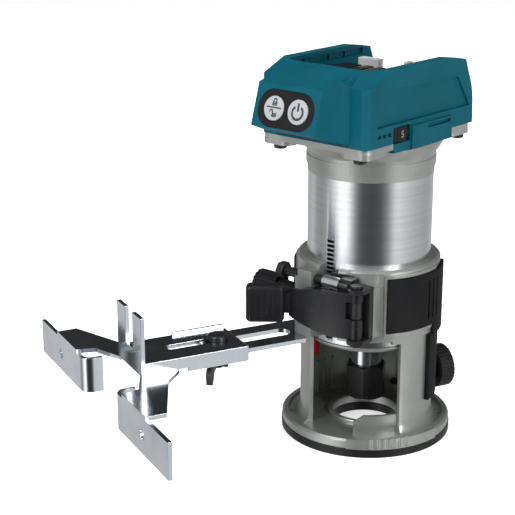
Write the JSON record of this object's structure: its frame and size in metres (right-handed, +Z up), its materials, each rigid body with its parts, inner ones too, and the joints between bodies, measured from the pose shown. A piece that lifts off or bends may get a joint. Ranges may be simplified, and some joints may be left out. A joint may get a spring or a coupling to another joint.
{
  "type": "trim router",
  "caption": "Cordless trim router: clamped motor unit in a round depth-adjusting base, with a rack and pinion, clamp lever and a sliding straight guide.",
  "frame": {"origin": "centre of the sole opening on the bottom face of the sole, which is the spindle axis where it meets the work", "axes": "+Z up along the spindle, +Y towards the open end of the battery bay, -Y towards the button panel and the rack, +X towards the side with the speed dial"},
  "size_m": [0.1852, 0.2252, 0.2032],
  "materials": {
    "cast_grey": "satin silver-grey paint over cast alloy",
    "sole_plastic": "fine satin",
    "machined_alloy": "brushed round the axis",
    "teal_plastic": "fine grained",
    "rubber_black": "matt, lightly textured",
    "black_plastic": "satin",
    "panel_black": "semi-gloss",
    "button_white": "satin with printed symbols",
    "zinc_steel": "bright zinc plate",
    "black_steel": "satin black",
    "bright_steel": "bright",
    "red_plastic": "satin",
    "light_plastic": "satin",
    "board_green": "lacquered",
    "copper": "enamelled wire",
    "brass": "plain"
  },
  "bodies": {
    "base": {"base_casting": "cast_grey", "sub_base": "sole_plastic", "opening_ring": "cast_grey", "sub_base_screws": "bright_steel", "grip_right": "rubber_black", "grip_left": "rubber_black", "stop_pad": "red_plastic", "hinge_bracket": "black_steel", "bracket_rivets": "black_steel", "hinge_pin": "black_steel", "clamp_block": "black_steel", "tension_bolt": "black_steel", "tension_nut": "black_steel", "tension_sleeve": "machined_alloy", "set_screw": "black_steel", "guide_bar": "zinc_steel", "bar_fixings": "bright_steel", "guide_bolt": "black_steel", "guide_washer": "bright_steel"},
    "motor": {"motor_tube": "machined_alloy", "end_bell": "cast_grey", "bearings": "bright_steel", "stator": "bright_steel", "coils": "copper", "motor_bracket": "cast_grey", "bracket_screws": "black_steel", "housing_right": "teal_plastic", "housing_left": "teal_plastic", "housing_screws": "black_steel", "button_panel": "panel_black", "switch_board": "board_green", "switches": "black_plastic", "control_board": "board_green", "board_parts": "black_plastic", "dial_post": "light_plastic", "terminal_block": "black_plastic", "terminals": "brass", "bay_latch": "light_plastic", "motor_leads": "red_plastic"},
    "shaft": {"spindle": "bright_steel", "fan": "black_plastic", "rotor": "bright_steel", "collet": "bright_steel"},
    "nut": {"collet_nut": "black_steel"},
    "pinion": {"pinion_shaft": "bright_steel", "adjuster_knob": "black_plastic"},
    "lever": {"lever_body": "black_steel", "link_barrel": "black_steel", "lever_grip": "black_plastic"},
    "lock_key": {"lock_button": "button_white"},
    "power_key": {"power_button": "button_white"},
    "dial": {"speed_dial": "black_plastic"},
    "thumb_screw": {"rear_knob": "black_plastic", "rear_knob_screw": "bright_steel"},
    "fence": {"guide_plate": "zinc_steel", "guide_fence": "zinc_steel"},
    "guide_nut": {"wing_nut": "black_steel"}
  },
  "joints": [
    {"name": "depth_slide", "type": "slide", "parent": "base", "child": "motor", "axis": [0, 0, 1], "range_m": [-0.024, 0.016]},
    {"name": "shaft_turn", "type": "hinge", "parent": "motor", "child": "shaft", "pos_m": [0, 0, 0.1], "axis": [0, 0, 1], "continuous": true},
    {"name": "collet_nut_turn", "type": "hinge", "parent": "shaft", "child": "nut", "pos_m": [0, 0, 0.027], "axis": [0, 0, 1], "range_deg": [-30, 360]},
    {"name": "pinion_turn", "type": "hinge", "parent": "base", "child": "pinion", "pos_m": [0, -0.03715, 0.0817], "axis": [1, 0, 0], "range_deg": [-262.5, 175.5]},
    {"name": "lever_swing", "type": "hinge", "parent": "base", "child": "lever", "pos_m": [0.0238, -0.041, 0.079], "axis": [0, 0, 1], "range_deg": [0, 135]},
    {"name": "lock_press", "type": "slide", "parent": "motor", "child": "lock_key", "axis": [0, 0.9541, -0.2993], "range_m": [0, 0.0012], "stiffness_N_per_m": 1200, "springref_m": -0.0006},
    {"name": "power_press", "type": "slide", "parent": "motor", "child": "power_key", "axis": [0, 0.9541, -0.2993], "range_m": [0, 0.0012], "stiffness_N_per_m": 1200, "springref_m": -0.0006},
    {"name": "dial_turn", "type": "hinge", "parent": "motor", "child": "dial", "pos_m": [0.0215, -0.0202, 0.17], "axis": [0, 0, 1], "range_deg": [-172.8, 43.2]},
    {"name": "thumb_screw_turn", "type": "hinge", "parent": "base", "child": "thumb_screw", "pos_m": [0.01708, 0.04163, 0.026], "axis": [0.3795, 0.9252, 0], "range_deg": [0, 360]},
    {"name": "fence_slide", "type": "slide", "parent": "base", "child": "fence", "axis": [-0.3795, -0.9252, 0], "range_m": [-0.021, 0]},
    {"name": "wing_nut_turn", "type": "hinge", "parent": "base", "child": "guide_nut", "pos_m": [-0.03339, -0.08142, 0.055], "axis": [0, 0, 1], "range_deg": [-90, 360]}
  ],
  "couplings": [
    {"joint": "pinion_turn", "follows": "depth_slide", "rad_per_m": 190.48}
  ]
}
